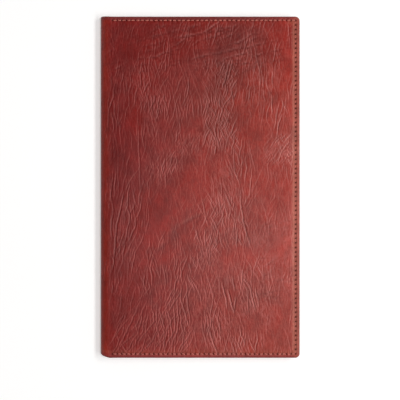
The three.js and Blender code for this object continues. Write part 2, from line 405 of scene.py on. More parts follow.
def inner_leather_material(name, tones, gloss):
    """Smoother inside leather with soft clouds and a fine pebble."""
    dark, mid, light = tones
    n = Nodes(name)
    place = n.object_mm()
    cloud = n.noise(place, 0.05, 3.0, 0.5)
    pebble = n.cells(place, 1.1, "SMOOTH_F1")
    streak = n.noise(n.scaled(place, (0.3, 0.12, 0.3)), 1.0, 3.0, 0.55, 0.4)
    base = n.mix(n.span(cloud, 0.35, 0.68), dark, mid)
    base = n.mix(n.span(streak, 0.5, 0.8, 0.0, 0.5), base, light)
    base = n.mix(n.span(pebble, 0.25, 0.6, 0.0, 0.35), base, dark)
    n.surface("Base Color", n.tinge(base, "tooled", 0.80, TOOLED_TONE))
    n.surface("Roughness", n.span(streak, 0.3, 0.75, gloss, gloss + 0.14))
    n.surface("Specular IOR Level", 0.4)
    n.surface("Normal", n.bump(streak, 0.12, 0.8, n.bump(pebble, 0.05)))
    return n.material


def thread_material():
    """Waxed two-ply thread with darker fibres."""
    n = Nodes("stitch_thread")
    place = n.object_mm()
    tone = n.noise(place, 0.25, 2.0, 0.5)
    fibre = n.noise(n.scaled(place, (5.0, 5.0, 9.0)), 1.0, 3.0, 0.6)
    base = n.mix(n.span(tone, 0.3, 0.7), *THREAD_TONES)
    n.surface("Base Color", n.mix(n.span(fibre, 0.4, 0.75, 0.0, 0.5), base, FIBRE_TONE))
    n.surface("Roughness", 0.50)
    n.surface("Normal", n.bump(fibre, 0.05))
    return n.material


def board_material(name, dark, light):
    """Pressed paper board with short fibres."""
    n = Nodes(name)
    place = n.object_mm()
    fibre = n.noise(n.scaled(place, (0.5, 1.6, 3.0)), 1.0, 5.0, 0.65, 0.7)
    speck = n.noise(place, 2.2, 2.0, 0.7)
    base = n.mix(n.span(fibre, 0.35, 0.7), dark, light)
    n.surface("Base Color", n.mix(n.span(speck, 0.62, 0.75, 0.0, 0.5), base, dark))
    n.surface("Roughness", 0.9)
    n.surface("Normal", n.bump(fibre, 0.06))
    return n.material


COVER_LEATHER = cover_leather_material()
LINING_LEATHER = inner_leather_material("lining_leather", LINING_TONES, 0.55)
POCKET_LEATHER = inner_leather_material("pocket_leather", POCKET_TONES, 0.46)
THREAD = thread_material()
GREY_BOARD = board_material("grey_board", *BOARD_TONES)
FILLER_CARD = board_material("filler_card", *CARD_TONES)


# Places on a cover
def corner_reach(along, up):
    """How far points reach into the square of a fore corner, in corner radii."""
    a = (along - (FLAT_LENGTH - CORNER_RADIUS)) / CORNER_RADIUS
    b = (np.abs(up) - (HALF_HEIGHT - CORNER_RADIUS)) / CORNER_RADIUS
    return a, b


def round_corners(along, up):
    """Moves cover grid points to round the two fore corners."""
    along = np.array(along, float)
    up = np.array(up, float)
    a, b = corner_reach(along, up)
    corner = (a > 1e-9) & (b > 1e-9)
    new_a, new_b = round_off(a, b)
    along = np.where(corner, FLAT_LENGTH - CORNER_RADIUS + CORNER_RADIUS * new_a, along)
    rounded = HALF_HEIGHT - CORNER_RADIUS + CORNER_RADIUS * new_b
    return along, np.where(corner, np.sign(up) * rounded, up)


def roll_end(along, up):
    """Slants the roll's tail end inwards and its head end outwards."""
    turn = np.clip(-along / HALF_ROLL, 0.0, 1.0)
    tail = TAIL_SLANT * turn * smooth(-HALF_HEIGHT + SLANT_REACH, -HALF_HEIGHT, up)
    head = HEAD_SLANT * turn * smooth(HALF_HEIGHT - SLANT_REACH, HALF_HEIGHT, up)
    return up + tail + head


def cover_place(along, up, depth):
    """Points on a cover at a depth below its outer face, wrapped round the spine roll."""
    along, up = round_corners(along, up)
    up = roll_end(along, up)
    turn = np.clip(-along / ROLL_RADIUS, 0.0, None)
    x = np.where(along >= 0, ROLL_X + along, ROLL_X - (ROLL_RADIUS - depth) * np.sin(turn))
    z = np.where(along >= 0, depth, ROLL_RADIUS - (ROLL_RADIUS - depth) * np.cos(turn))
    return np.stack([x, up, z], axis=-1)


# Creases of the front cover in millimetres from its middle: depth, half width, points
FRONT_CREASES = [
    (0.14, 0.37, [(-41.6, 50.3), (-41, 31.6), (-39.6, -5.3)]),
    (0.24, 0.46, [(-50.5, -1.9), (-53, -15.4), (-55.7, -25.4), (-56.4, -35.5), (-57.7, -50.2),
                  (-59.1, -56.9)]),
    (0.19, 0.37, [(-48.3, -1.9), (-48.3, -13.3), (-51, -18.7)]),
    (0.12, 0.6, [(-43.6, 97.3), (-22, 103), (3.3, 108.7)]),
    (0.11, 0.6, [(-26.9, 97.3), (3.3, 103.3)]),
    (0.08, 0.6, [(-1.4, 102), (17.4, 107.3)]),
    (0.1, 0.6, [(-16.8, 82.5), (23.4, 91.9), (53.6, 98.6)]),
    (0.08, 0.6, [(16.7, 90), (43.5, 100)]),
    (0.11, 0.34, [(38.2, 92), (40, 75), (41.5, 58.4)]),
    (0.08, 0.34, [(40.8, 90), (43, 62)]),
    (0.1, 0.38, [(32.6, 29.5), (35.9, 16.1), (37.2, 10.2)]),
    (0.07, 0.6, [(36.8, 2.7), (34.2, -4), (30.4, -10.7)]),
    (0.19, 0.42, [(26.7, -1.9), (28.8, -22), (33.5, -38.8)]),
    (0.27, 0.42, [(-40.3, -79), (-47, -92.4), (-51, -101.2), (-54.4, -107.2)]),
    (0.2, 0.37, [(-36.9, -79), (-42.3, -92.4), (-47, -97.1)]),
    (0.17, 0.34, [(-33.6, -85.7), (-39, -94.5)]),
    (0.17, 0.34, [(-24.9, -82.4), (-23.5, -99.1)]),
    (0.24, 0.37, [(-16.2, -84.4), (-21.5, -94.5), (-24.9, -109.2)]),
    (0.14, 0.3, [(-9.5, -83.7), (-10.1, -102.5)]),
    (0.28, 0.4, [(14.7, -64.3), (17.4, -73.7), (18, -81)]),
    (0.3, 0.4, [(18.7, -69), (22.7, -83.7)]),
    (0.22, 0.36, [(22.7, -83.7), (24.1, -73)]),
    (0.18, 0.34, [(21.4, -58.9), (23.4, -69)]),
    (0.26, 0.4, [(33.5, -66.3), (36.1, -79), (37.5, -82.4)]),
    (0.14, 0.32, [(13.3, -89.1), (14, -105.9)]),
    (0.14, 0.32, [(6.6, -90.4), (4.6, -97.1)]),
    (0.09, 0.34, [(41.5, -24.7), (60.3, -27.4)]),
    (0.08, 0.3, [(53.6, -57), (63, -62.3)]),
    (0.08, 0.3, [(53.6, -62.3), (63, -58)]),
    (0.07, 4.5, [(-33.6, -50.2), (-16.8, -32.8), (0, -17.4)]),
    (0.09, 1.2, [(-29.5, -44), (-24.7, -39.2), (-21.7, -37.2)]),
    (0.09, 1.2, [(-15, -26.8), (-9.3, -23.4), (-3.6, -20.5), (2.2, -18.2)]),
]

# Wrinkled areas: middle, half size, lean from upright, spread, spacing, length, depth
FRONT_WRINKLES = [
    (4, 94, 54, 15, 76, 6, 3, 52, 0.078),
    (-57, 80, 3, 30, 0, 4, 1.9, 40, 0.09),
    (-62.5, 0, 3.5, 106, 0, 5, 1.7, 26, 0.085),
    (-31, 58, 9, 24, 4, 14, 1.6, 16, 0.14),
    (-48, 75, 9, 26, 5, 10, 2.6, 20, 0.075),
    (-30, 8, 8, 7, 14, 22, 1.5, 7, 0.13),
    (-19, 18, 8, 7, 14, 22, 1.5, 7, 0.13),
    (-8, 28, 8, 7, 14, 22, 1.5, 7, 0.13),
    (13, 55, 10, 29, -4, 19, 1.5, 12, 0.155),
    (16, 3, 9, 17, -18, 12, 1.9, 16, 0.13),
    (20, -20, 11, 18, -6, 18, 1.5, 11, 0.155),
    (4, -43, 8, 10, 0, 20, 1.6, 11, 0.15),
    (-44, -92, 12, 17, 27, 8, 2.4, 26, 0.15),
    (-20, -92, 12, 18, 9, 14, 2.2, 24, 0.14),
    (12, -84, 16, 22, -6, 14, 2.2, 22, 0.13),
    (36, -84, 12, 22, -10, 12, 2.4, 22, 0.105),
    (52, 25, 9, 9, 46, 6, 2.2, 10, 0.095),
    (52, 25, 9, 9, -40, 6, 2.2, 9, 0.09),
    (40, 74, 9, 18, -3, 8, 2.6, 24, 0.085),
    (-52, -30, 7, 36, 8, 7, 2, 32, 0.125),
    (54, -50, 9, 28, 80, 12, 5, 14, 0.085),
    (3, 0, 62, 111, 1, 12, 2.1, 22, 0.066),
]
BACK_WRINKLES = [
    (-62.5, 0, 3.5, 106, 0, 5, 1.7, 26, 0.085),
    (0, 96, 45, 12, 68, 8, 4.4, 28, 0.09),
    (-20, 40, 20, 50, 8, 14, 2.4, 22, 0.095),
    (24, -30, 22, 55, -10, 15, 2.4, 20, 0.105),
    (0, 0, 62, 110, 0, 12, 2.8, 26, 0.07),
]

# Areas that stay smooth: middle and half size
FRONT_SMOOTH = [
    (-44, 46, 6, 9), (-2, 5, 9, 17), (-34, -33, 4, 5), (-24, -22, 12, 12), (-24, -48, 5, 5),
    (34, -46, 8, 7), (-23, 41, 6, 9), (-9, 38, 3.5, 3.5), (-2, 43.5, 3.5, 3.5), (42, 1, 7, 17),
    (36, 30, 9, 17), (-46, 92, 11, 12), (52, -40, 8, 12), (56, -78, 7, 22), (55, -8, 10, 26),
    (58, 84, 7, 22), (54, -102, 10, 12), (21, -76, 8, 13), (36, -92, 8, 12),
]
BACK_SMOOTH = [(-35, -60, 12, 16), (30, 60, 13, 14), (2, -5, 8, 18)]

# Stained patches, with rows of painted light and shade along the edges: middle, half length, half width,
# angle, gain, dullness
FRONT_STAIN_AND_LIGHT = [
    (-19, 46, 56, 26, 50, -0.03, 0.5),
    (21, 91, 24, 14, 20, -0.1, 0.45),
    (29, 50, 70, 14, 59, 0, -0.75),
    (-1.4, 8, 18, 8, 65, 0.1, -0.45),
    (30, -48, 15, 8, 10, 0.16, -0.5),
    (-29.5, -37, 13, 8, 45, 0.1, -0.6),
    (32, 1, 12, 4.5, 75, 0.15, -0.1),
    (-8, -84, 42, 24, 10, 0.02, 0.45),
    (-56, 10, 120, 9, 90, -0.11, 0.12),
    (-58, -95, 30, 9, 90, 0, -0.6),
    (-20, 95, 24, 12, 15, 0.02, -0.4),
    (-45, 44, 12, 6, 90, 0.06, -0.6),
    (58, 94, 24, 12, 70, 0.14, -0.45),
    (-1.4, 41.6, 15, 2.4, 45, 0.1, 0.2),
    (-37, 5, 24, 9, 45, -0.04, 0.35),
    # The next five rows paint light and shade: darker along the head, lighter along the fore edge and the
    # tail, and lighter strips just inside the head and tail seams
    (0, 112, 90, 22, 0, -0.06, 0),
    (64, -10, 110, 8, 90, 0.2, 0.25),
    (0, -112, 90, 14, 0, 0.08, 0),
    (0, 110.6, 90, 1.8, 0, 0.18, -0.3),
    (0, -112, 90, 4, 0, 0.18, 0.1),
    (28, 0, 130, 24, 90, -0.13, -0.04),
    (-53, -50, 62, 11, 90, -0.04, -0.46),
    (16, 62, 30, 11, 90, -0.12, -0.1),
    (54, -98, 30, 15, 90, 0.04, 0.4),
    (12, 4, 26, 9, 62, 0.04, -0.4),
    (-33, -31.6, 4.5, 3, 60, 0.1, -0.4),
    (-23.7, -46, 6, 4, 30, 0.1, -0.4),
    (22, -44, 9, 3.5, 5, 0.06, -0.3),
    (30, -36, 14, 4.5, 5, -0.05, 0.45),
]
BACK_STAIN = [
    (-20, 60, 50, 24, 50, -0.08, 0.45),
    (25, -40, 44, 18, 60, 0.1, -0.4),
    (10, 30, 60, 10, 55, 0.05, -0.45),
    # Darker along the head, as on the front
    (0, 112, 90, 24, 0, -0.12, 0),
]

# Growth of the crease nets
CREASE_STEP = 1.1
RASTER = 0.5
RASTER_SHAPE = (int(2 * HALF_WIDTH / RASTER) + 1, int(2 * HALF_HEIGHT / RASTER) + 1)
FLAT_LEAN = 60.0
STEEP_LEAN = 40.0
WIDE_AREA = 30.0
TRIES = 48
CREASE_GAIN = 1.85
FLAT_WIDENING = 1.6
LIP_HEIGHT = 0.15


def raster_cell(x, y):
    """Raster cell at a place on a cover, or None outside."""
    cell = (int((x + HALF_WIDTH) / RASTER), int((y + HALF_HEIGHT) / RASTER))
    inside = 0 <= cell[0] < RASTER_SHAPE[0] and 0 <= cell[1] < RASTER_SHAPE[1]
    return cell if inside else None


def grow_crease(rng, taken, bend, x, y, lean, length):
    """A crooked line both ways from a point, up to an earlier line."""
    halves = []
    for way in (CREASE_STEP, -CREASE_STEP):
        px, py = x, y
        half = []
        for _ in range(int(0.5 * length / CREASE_STEP)):
            cell = raster_cell(px, py)
            if cell is None or taken[cell]:
                break
            heading = math.radians(lean + bend[cell]) + rng.normal(0.0, 0.10)
            px += way * math.sin(heading)
            py += way * math.cos(heading)
            half.append((px, py))
        halves.append(half)
    return halves[1][::-1] + [(x, y)] + halves[0]


def mark_crease(taken, line):
    """Marks the raster cells beside a line, to keep later lines away."""
    path = np.array(line)
    for share in (0.0, 0.33, 0.67):
        for x, y in path[:-1] + share * np.diff(path, axis=0):
            cell = raster_cell(x, y)
            if cell is not None:
                taken[max(cell[0] - 1, 0):cell[0] + 2, cell[1]] = True


def grow_creases(rng, seed, areas):
    """Creases over the wrinkled areas: line, depth and half width."""
    gx, gy = np.meshgrid(*(np.arange(count) * RASTER for count in RASTER_SHAPE), indexing="ij")
    bends = []
    for k in range(4):
        sway = 13 * noise(gx / 7.0, gy / 10.0, seed + k)
        bends.append(sway + 20 * noise(gx / 2.2, gy / 3.4, seed + 20 + k))
    rasters = np.zeros((len(bends),) + RASTER_SHAPE, bool)
    creases = []
    for x, y, half_x, half_y, lean, spread, spacing, length, depth in areas:
        flat = abs(lean) > FLAT_LEAN
        reach = int(0.6 * spacing / RASTER)
        near = (1, reach) if flat else (reach, 1)
        for k in range(int(TRIES * half_x * half_y / (spacing * length))):
            side = k % 2
            taken = rasters[side + 2 * flat]
            bend = bends[side + 2 * flat]
            px = x + half_x * rng.uniform(-1.0, 1.0)
            py = y + half_y * rng.uniform(-1.0, 1.0)
            cell = raster_cell(px, py)
            if cell is None:
                continue
            beside = tuple(slice(max(c - n, 0), c + n + 1) for c, n in zip(cell, near))
            if taken[beside].any():
                continue
            heading = lean + (2 * side - 1) * spread + rng.normal(0.0, 3.0)
            line = grow_crease(rng, taken, bend, px, py, heading, length * rng.uniform(0.5, 1.4))
            if len(line) > 3:
                mark_crease(taken, line)
                line_depth = CREASE_GAIN * depth * (0.36 + 1.20 * rng.uniform() ** 2)
                half_width = rng.uniform(0.24, 0.36) * (FLAT_WIDENING if flat else 1.0)
                creases.append((line, line_depth, half_width))
    return creases


def grid_window(low, high):
    """Slices of the cover grid between two places."""
    ranges = zip((COLUMN_X, ROWS), zip(low, high))
    return tuple(slice(*np.searchsorted(lines, ends)) for lines, ends in ranges)


def press_crease(relief, points, depth, width):
    """Presses a crease with raised lips into a relief."""
    path = np.array(points)
    reach = 4.0 * width
    near = grid_window(path.min(axis=0) - reach, path.max(axis=0) + reach)
    gx = ACROSS[near]
    gy = UP[near]
    away = np.full(gx.shape, 1e3)
    share = np.zeros(gx.shape)
    legs = np.hypot(*np.diff(path, axis=0).T)
    total = legs.sum()
    done = 0.0
    for start, end, leg in zip(path[:-1], path[1:], legs):
        step = (end - start) / max(leg, 1e-6)
        t = np.clip((gx - start[0]) * step[0] + (gy - start[1]) * step[1], 0.0, leg)
        gap = np.hypot(gx - start[0] - t * step[0], gy - start[1] - t * step[1])
        closer = gap < away
        away = np.where(closer, gap, away)
        share = np.where(closer, (done + t) / total, share)
        done += leg
    taper = np.sqrt(np.clip(np.sin(math.pi * np.clip(share, 0.02, 0.98)), 0.0, 1.0))
    lips = LIP_HEIGHT * hump(away - 2.0 * width, width)
    relief[near] += depth * taper * (lips - hump(away, width))


def wander(rng, points):
    """A listed line with small crooks added."""
    path = np.array(points)
    legs = np.hypot(*np.diff(path, axis=0).T)
    reach = np.concatenate([[0.0], legs.cumsum()])
    steps = np.linspace(0.0, reach[-1], max(3, int(reach[-1] / CREASE_STEP)))
    line = np.stack([np.interp(steps, reach, values) for values in path.T], axis=-1)
    return line + rng.normal(0.0, 0.16, line.shape)


def wrinkle_relief(seed, creases, areas, smooth_areas):
    """Height of the wrinkled hide over the cover grid, in millimetres."""
    rng = np.random.default_rng(seed)
    relief = np.zeros(ACROSS.shape)
    for line, depth, width in grow_creases(rng, seed, areas):
        press_crease(relief, line, depth, width)
    relief *= 0.35 + 0.75 * smooth(-0.5, 0.5, noise(ACROSS / 9.0, UP / 13.0, seed + 5))
    for area in smooth_areas:
        relief *= 1.0 - 0.85 * oval(*area)
    for depth, width, line in creases:
        press_crease(relief, wander(rng, line) if width < 1.0 else line, depth, width)
    return relief


def net_layers(seed, areas, smooth_areas):
    """Where the hide is finely wrinkled, and how far its fine lines lean."""
    lean_x = np.zeros(ACROSS.shape)
    calm = np.ones(ACROSS.shape)
    for x, y, half_x, half_y, lean, *_ in areas:
        if half_x < WIDE_AREA:
            weight = oval(x, y, 1.25 * half_x, 1.1 * half_y)
            calm *= 1.0 - 0.75 * weight
            if abs(lean) < STEEP_LEAN:
                lean_x += math.tan(math.radians(lean)) * (UP - y) * weight
    dense = 1.0 - calm + 0.35 * noise(ACROSS / 13.0, UP / 19.0, seed)
    for area in smooth_areas:
        dense *= 1.0 - 0.9 * oval(*area)
    dense = np.clip(dense, 0.0, 1.0) * smooth(-0.5 * HALF_ROLL, 3.0, ALONG)
    return dense, np.stack([ACROSS - lean_x, UP, np.zeros(UP.shape)], axis=-1)


def stain_and_light_layers(seed, patches):
    """Gain of the stain, with painted light and shade, over the cover grid, and how dull it is."""
    run = (ACROSS + UP) / math.sqrt(2)
    rise = (UP - ACROSS) / math.sqrt(2)
    gain = 1.0 + 0.07 * noise(run / 30.0, rise / 8.0, seed) + 0.06 * noise(ACROSS / 2.2, UP / 3.0, seed + 3)
    dull = 0.42 + 0.22 * noise(run / 34.0, rise / 9.0, seed + 1)
    dull += 0.14 * noise(ACROSS / 7.0, UP / 11.0, seed + 2) + 0.20 * noise(ACROSS / 3.0, UP / 4.2, seed + 4)
    for x, y, half_length, half_width, angle, more, duller in patches:
        turn = math.radians(angle)
        away_u = ((ACROSS - x) * math.cos(turn) + (UP - y) * math.sin(turn)) / half_length
        away_v = ((UP - y) * math.cos(turn) - (ACROSS - x) * math.sin(turn)) / half_width
        weight = np.exp(-away_u ** 2 - away_v ** 2)
        gain += more * weight
        dull += duller * weight
    return gain, np.clip(dull, 0.0, 1.0)


# Relief of the seam and the spine crease
HOLE_REACH = 1.6
HOLE_RADIUS = 0.58
HOLE_DEPTH = 0.60
PINCH_WIDTH = 0.70
PINCH_DEPTH = 0.22
FORE_PINCH = 0.14
PAD_HEIGHT = 0.20
FORE_PAD = 0.22
HINGE_PLACE = 0.4
HINGE_WIDTH = 1.6
HINGE_DEPTH = 0.12
# Slope and depth that scale the painted crease highlight and the painted crease shade
CREASE_HIGHLIGHT_SLOPE = 0.27
CREASE_SHADE_DEPTH = 0.19


def edge_holes():
    """Pairs of needle holes along the tail, the head and the fore edge."""
    holes = []
    for k in range(STITCHES_ALONG):
        a = SEAM_START + k * PITCH_ALONG
        b = a + PITCH_ALONG
        holes.append(((ROLL_X + a, -SEAM_HEAD), (ROLL_X + b, -SEAM_HEAD)))
        holes.append(((ROLL_X + b, SEAM_HEAD), (ROLL_X + a, SEAM_HEAD)))
    for k in range(STITCHES_UP):
        a = -SEAM_HEAD + k * PITCH_UP
        holes.append(((ROLL_X + SEAM_FORE, a), (ROLL_X + SEAM_FORE, a + PITCH_UP)))
    return holes


def needle_holes():
    """Relief layer of the edge holes, each 1 in its middle."""
    hole = np.zeros(ACROSS.shape)
    for x, y in (place for pair in edge_holes() for place in pair):
        near = grid_window((x - HOLE_REACH, y - HOLE_REACH), (x + HOLE_REACH, y + HOLE_REACH))
        spot = np.exp(-((ACROSS[near] - x) ** 2 + (UP[near] - y) ** 2) / HOLE_RADIUS ** 2)
        hole[near] = np.maximum(hole[near], spot)
    return hole


def cover_relief(seed, creases, areas, smooth_areas, patches):
    """Raised height of a cover's outer face and the layers that colour it."""
    wrinkles = wrinkle_relief(seed, creases, areas, smooth_areas)
    unrolled = smooth(-HALF_ROLL, -0.6 * HALF_ROLL, ALONG)
    calm = smooth(0.6, 4.5, INSET) * unrolled
    wrinkles = wrinkles * (0.25 + 0.75 * calm) * unrolled
    swell = 0.15 * noise((ALONG + UP) / 48.0, (UP - ALONG) / 17.0, seed + 7)
    swell += 0.06 * noise(ALONG / 11.0, UP / 15.0, seed + 8)
    swell = swell * smooth(1.0, 12.0, INSET) * smooth(-HALF_ROLL, 6.0, ALONG)
    fore = smooth(-6.0, 0.0, (HALF_HEIGHT - np.abs(UP)) - (FLAT_LENGTH - ALONG))
    pinch = hump(INSET - SEAM_INSET, PINCH_WIDTH) * smooth(SEAM_START - 2.6, SEAM_START - 0.6, ALONG)
    pad = smooth(SEAM_INSET - 0.2, SEAM_INSET + 3.4, INSET) * np.exp(-np.clip(INSET - 4.0, 0.0, None) / 7.0)
    pad = pad * smooth(1.0, 6.0, ALONG)
    hole = needle_holes()
    raised = wrinkles + swell + (PAD_HEIGHT + FORE_PAD * fore) * pad
    raised = raised - (PINCH_DEPTH + FORE_PINCH * fore) * pinch - HOLE_DEPTH * hole
    raised = raised - HINGE_DEPTH * hump(ALONG - HINGE_PLACE, HINGE_WIDTH)
    slope_x, slope_y = np.gradient(wrinkles, COLUMNS, ROWS)
    # Strength of the painted pad highlight along each edge
    pad_highlight_share = np.where(UP < 0, 0.45 + 0.55 * fore, fore)
    # Strength of the painted hole shade along each edge
    hole_shade_share = np.where(UP < 0, 1.15 + 0.30 * fore, 0.85 + 0.60 * fore)
    layers = {
        # Painted highlight on crease walls facing the lamps, from the slope of the wrinkles
        "crease_highlight": np.clip((-slope_x + 0.85 * np.abs(slope_y)) / CREASE_HIGHLIGHT_SLOPE, 0.0, 1.0),
        # Painted shade in the crease hollows
        "crease_shade": np.clip(-wrinkles / CREASE_SHADE_DEPTH, 0.0, 1.0),
        # Painted highlight along the fore rim
        "rim": (1.0 - smooth(1.6, 5.0, INSET)) * fore,
        "welt": (1.0 - smooth(1.4, 3.2, INSET)) * (1.0 - fore),
        # Painted highlight on the pad inside the seam
        "pad_highlight": hump(INSET - 4.1, 0.9) * pad_highlight_share,
        # Painted shade in the needle holes
        "hole": np.clip(hole * hole_shade_share, 0.0, 1.0),
        # Painted light gradient: lighter toward the fore edge, darker toward the head
        "painted_light_side": smooth(-HALF_ROLL, FLAT_LENGTH, ALONG) * (1.0 - 0.45 * smooth(55.0, 105.0, UP)),
        "roll": smooth(2.0, -0.45 * HALF_ROLL, ALONG),
    }
    layers["dense"], layers["net"] = net_layers(seed, areas, smooth_areas)
    layers["stain_and_light"], layers["dull"] = stain_and_light_layers(seed + 30, patches)
    return raised, layers


# Outer leather of the covers
RING_STEP = 1.2
RIM_LAYERS = {
    "crease_highlight": 0.0, "crease_shade": 0.0, "rim": 0.6, "welt": 0.4, "pad_highlight": 0.0, "hole": 0.0,
    "dense": 0.2, "painted_light_side": 0.5, "roll": 0.0, "stain_and_light": 1.0, "dull": 0.5,
}


def on_roll(along):
    """1 on the spine roll and 0 on the boarded part of a cover."""
    return smooth(2.5, -1.5, along)


def half_depth(along):
    """Half the thickness of a cover edge, thinner on the roll."""
    return COVER_DEPTH / 2 - ROLL_THINNING * on_roll(along)


def ring_place(along, up, inset, depth):
    """A ring of edge points moved in from the rim of a cover."""
    inset = inset * (1.0 - 0.62 * on_roll(along) * (inset > 2.0))
    a, b = corner_reach(along, up)
    corner = (a > 0) & (b > 0)
    shrink = np.clip(1.0 - inset / CORNER_RADIUS, 0.0, 1.0)
    in_along = np.where(corner, FLAT_LENGTH - CORNER_RADIUS + CORNER_RADIUS * a * shrink, along)
    in_up = np.where(corner, HALF_HEIGHT - CORNER_RADIUS + CORNER_RADIUS * b * shrink, np.abs(up))
    in_along = np.minimum(in_along, FLAT_LENGTH - inset)
    in_up = np.minimum(in_up, HALF_HEIGHT - inset) * np.sign(up)
    return cover_place(in_along, in_up, depth)


def cover_leather(name, side, raised, layers):
    """One cover's hide from the middle of the spine, folded over at its three edges."""
    depth = bullnose(INSET, half_depth(ALONG)) - raised * smooth(0.0, 1.2, INSET)
    points = [cover_place(ALONG, UP, depth).reshape(-1, 3)]
    columns = len(COLUMNS)
    number = ring_numbers(0, *ALONG.shape)
    faces = row_faces(number[1:], number[:-1])
    fore = number[-1, 1:-1]
    rim = np.concatenate([number[:, 0], fore, number[::-1, -1]])
    rim_along = ALONG.ravel()[rim]
    rim_up = UP.ravel()[rim]
    rim_half = half_depth(rim_along)
    steps = [(line, 2 * rim_half - bullnose(line, rim_half)) for line in EDGE_LINES[1:]]
    steps.append((TURN_IN, 2 * rim_half))
    steps.append((TURN_IN, 2 * rim_half - FOLDED_HIDE))
    steps.append((BOARD_INSET, 2 * rim_half - FOLDED_HIDE))
    steps.append((BOARD_INSET, np.full(rim_half.shape, HIDE)))
    points += [ring_place(rim_along, rim_up, line, level) for line, level in steps]
    rings = ring_numbers(number.size, len(steps), len(rim))
    faces += row_faces([rim, *rings[:-1]], rings)
    last = rings[-1].tolist()
    tail_ring = last[:columns]
    fore_ring = last[columns:columns + len(fore)]
    head_ring = last[columns + len(fore):][::-1]
    faces += strip(tail_ring[:-1], head_ring[:-1])
    faces.append((tail_ring[-2], tail_ring[-1], *fore_ring, head_ring[-1], head_ring[-2]))
    faces.append(tuple(np.concatenate([number[0, ::-1], rings[:, 0], rings[::-1, -1]]).tolist()))
    points = np.concatenate(points)
    count = len(points) - number.size
    floats = {key: np.append(layers[key].ravel(), np.full(count, value)) for key, value in RIM_LAYERS.items()}
    sheet = np.stack([ALONG + HALF_ROLL, UP, np.zeros(UP.shape)], axis=-1).reshape(-1, 3)
    edge = np.tile(sheet[rim], (len(steps), 1))
    edge[:, 2] = np.repeat(np.arange(1, len(steps) + 1) * RING_STEP, len(rim))
    hide = np.concatenate([sheet, edge])
    net = np.concatenate([layers["net"].reshape(-1, 3), edge])
    if side == "back":
        hide[:, 0] *= -1
    vectors = {"hide": hide, "net": net}
    return add_mesh(name, to_frame(points, side), faces, COVER_LEATHER, floats, vectors, side == "front")


front_raised, front_layers = cover_relief(11, FRONT_CREASES, FRONT_WRINKLES, FRONT_SMOOTH, FRONT_STAIN_AND_LIGHT)
back_raised, back_layers = cover_relief(47, [], BACK_WRINKLES, BACK_SMOOTH, BACK_STAIN)
back_raised = back_raised - back_raised.max()
front_leather = cover_leather("front_hide", "front", front_raised, front_layers)
back_leather = cover_leather("back_hide", "back", back_raised, back_layers)


# Where the hide bends between a cover and the spine
BEND_START = 0.12
BEND_END = 0.88


def fold_span(side):
    """Start and end of a cover's bend into the spine, in metres."""
    flat = to_frame(np.array([ROLL_X, 0.0, 0.0]), side)
    middle = np.array([-HALF_WIDTH, 0.0, THICKNESS / 2])
    return [Vector((flat + share * (middle - flat)) * MM) for share in (BEND_START, BEND_END)]


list(fold_span("front"))
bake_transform(front_leather)
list(fold_span("back"))
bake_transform(back_leather)
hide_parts("front_cover_leather", "spine_leather")
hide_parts("back_cover_leather")


# Stitching: each stitch is two twisted plies that dive into a hole at both ends
STITCH_STEPS = 9
PLY_SIDES = 6
PLY_OFFSET = 0.17
PLY_TURNS = 0.8
DIVE = 1.3
OUTER_STITCH = {"rise": 0.16, "slant": 0.16, "ply": 0.21}
INNER_STITCH = {"rise": 0.12, "slant": 0.15, "ply": 0.18}
SEAM_DEPTHS = {"front": 0.44, "back": 0.78}
FORE_SINK = 0.30
INNER_SINK = 0.12
SEAM_TO_MOUTH = 2.0


def sew(name, stitches, body, nodes, rise, slant, ply):
    """Sews stitches, each given by its two holes and the way up, in millimetres."""
    points = []
    faces = []
    t = np.linspace(0.0, 1.0, STITCH_STEPS)
    around = np.arange(PLY_SIDES) * 2 * math.pi / PLY_SIDES
    for index, (start, end, up) in enumerate(stitches):
        way = (end - start) / np.linalg.norm(end - start)
        across = np.cross(up, way)
        sag = 0.04 * math.sin(2.3 * index) + 0.03 * math.sin(5.1 * index)
        height = (rise + sag) * np.sin(math.pi * t) ** 0.5 - DIVE * np.abs(2 * t - 1) ** 3.5
        lean = slant * (1 - 2 * t)
        line = start + np.outer(t, end - start) + np.outer(height, up) + np.outer(lean, across)
        for strand in (0, 1):
            twist = 2 * math.pi * PLY_TURNS * t + math.pi * strand + 0.7 * index
            core = line + PLY_OFFSET * (np.outer(np.cos(twist), across) + np.outer(np.sin(twist), up))
            first = len(points)
            for place in core:
                for angle in around:
                    points.append(place + ply * (math.cos(angle) * across + math.sin(angle) * up))
            rings = ring_numbers(first, STITCH_STEPS, PLY_SIDES)
            faces += row_faces(rings[1:], rings[:-1], closed=True)
            faces.append(tuple(rings[0, ::-1].tolist()))
            faces.append(tuple(rings[-1].tolist()))
    obj = add_mesh(name, points, faces, THREAD, flip=True, sharp=80)
    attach(obj, body)
    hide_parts(*nodes)


def inside_level(side, x, up):
    """Depth of the top pocket or lining at a place inside a cover."""
    if x < POCKET_START:
        return LINING_LEVEL
    if side == "front":
        return FIRST_POCKET_LEVEL if up < RECEIPT_MOUTH else LINING_LEVEL
    if up < CARD_MOUTH:
        return CARD_POCKET_LEVEL
    return FIRST_POCKET_LEVEL if up < CHECK_MOUTH else LINING_LEVEL


def pocket_holes(high):
    """Pairs of needle holes of the row that closes the pockets."""
    count = int(round((high + SEAM_HEAD) / PITCH_UP))
    levels = np.linspace(-SEAM_HEAD, high, count + 1)
    return [((POCKET_SEAM_X, a), (POCKET_SEAM_X, b)) for a, b in zip(levels[:-1], levels[1:])]


